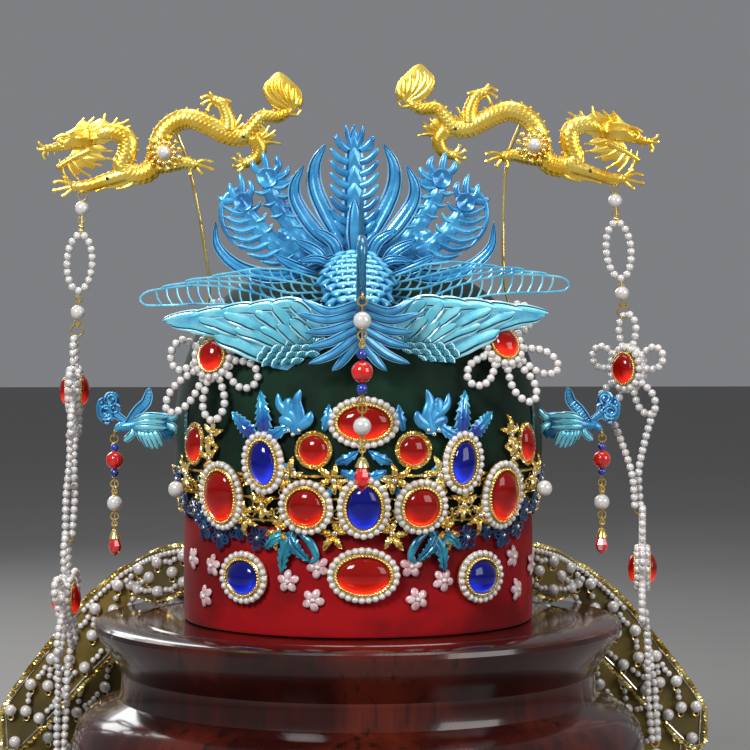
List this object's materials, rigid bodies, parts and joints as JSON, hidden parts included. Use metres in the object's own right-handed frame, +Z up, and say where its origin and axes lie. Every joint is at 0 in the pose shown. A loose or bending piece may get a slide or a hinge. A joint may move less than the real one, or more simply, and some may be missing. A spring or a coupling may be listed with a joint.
{
  "type": "phoenix crown on a turned wooden stand",
  "caption": "Round velvet phoenix crown with jewelled front, enamelled bird, gold dragons, long bead strings and cloth back wings, held on a turned dark wood stand.",
  "frame": {"origin": "centre of the stand's underside, where it rests on a table", "axes": "+Z up, the crown faces -Y, +X towards the viewer's right"},
  "size_m": [0.396, 0.303, 0.423],
  "materials": {
    "rosewood": "high gloss lacquer",
    "green_velvet": "velvet",
    "red_velvet": "velvet",
    "gold": "gilt",
    "gold_cloth": "brocade with metal thread",
    "blue_enamel": "feather-blue enamel",
    "pearl": "pearl lustre",
    "red_glass": "polished glass cabochon",
    "blue_glass": "polished glass cabochon"
  },
  "bodies": {
    "root": {"back_wing_lower_left": "gold_cloth", "back_wing_lower_right": "gold_cloth", "back_wing_upper_left": "gold_cloth", "back_wing_upper_right": "gold_cloth", "band_left_setting": "gold", "band_left_stone": "blue_glass", "band_middle_setting": "gold", "band_middle_stone": "red_glass", "band_right_setting": "gold", "band_right_stone": "blue_glass", "bead_string_left": "pearl", "bead_string_right": "pearl", "beak_drop": "red_glass", "bird_drop_left": "red_glass", "bird_drop_right": "red_glass", "blue_left_setting": "gold", "blue_left_stone": "blue_glass", "blue_middle_setting": "gold", "blue_middle_stone": "blue_glass", "blue_right_setting": "gold", "blue_right_stone": "blue_glass", "cap_flower_left": "pearl", "cap_flower_right": "pearl", "cap_shell": "green_velvet", "dragon_left": "gold", "dragon_right": "gold", "dragon_wire_left": "gold", "dragon_wire_right": "gold", "far_left_jewel": "red_glass", "far_right_jewel": "red_glass", "front_wing_left": "blue_enamel", "front_wing_right": "blue_enamel", "gold_belt": "gold", "head_band": "red_velvet", "leaf_spray_left": "blue_enamel", "leaf_spray_right": "blue_enamel", "low_leaf_left": "blue_enamel", "low_leaf_right": "blue_enamel", "net_wing_left": "blue_enamel", "net_wing_right": "blue_enamel", "phoenix_body": "blue_enamel", "phoenix_tail": "blue_enamel", "red_left_setting": "gold", "red_left_stone": "red_glass", "red_right_setting": "gold", "red_right_stone": "red_glass", "round_left_jewel": "red_glass", "round_right_jewel": "red_glass", "side_bird_left": "blue_enamel", "side_bird_right": "blue_enamel", "side_left_setting": "gold", "side_left_stone": "red_glass", "side_pin_left": "pearl", "side_pin_right": "pearl", "side_right_setting": "gold", "side_right_stone": "red_glass", "stand": "rosewood", "top_red_setting": "gold", "top_red_stone": "red_glass"}
  },
  "joints": []
}
